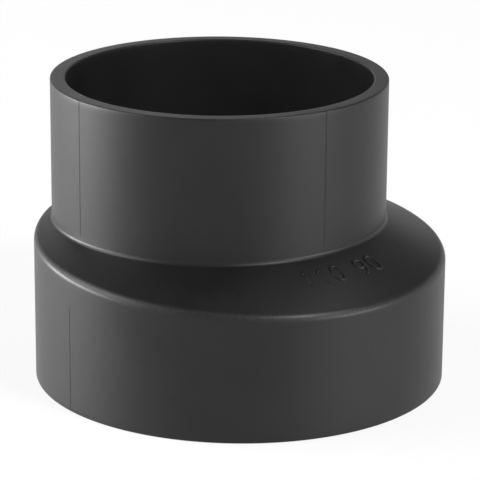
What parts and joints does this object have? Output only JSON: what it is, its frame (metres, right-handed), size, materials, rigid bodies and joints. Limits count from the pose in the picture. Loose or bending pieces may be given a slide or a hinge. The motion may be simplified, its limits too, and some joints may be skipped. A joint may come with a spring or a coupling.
{
  "type": "eccentric pipe reducer",
  "caption": "Short drainage pipe reducer with an offset small spigot on a larger one; the bores line up along one side and a rounded sloping shoulder joins them.",
  "frame": {"origin": "centre of the large end face, on the surface that the reducer stands on", "axes": "+Z from the large end to the small end; X along the eccentricity, with the side where the bores line up at -X and the widest shoulder at +X"},
  "size_m": [0.11, 0.11, 0.08],
  "materials": {
    "moulding": "satin"
  },
  "bodies": {
    "root": {"large_spigot": "moulding", "eccentric_shoulder": "moulding", "small_spigot": "moulding"}
  },
  "joints": []
}
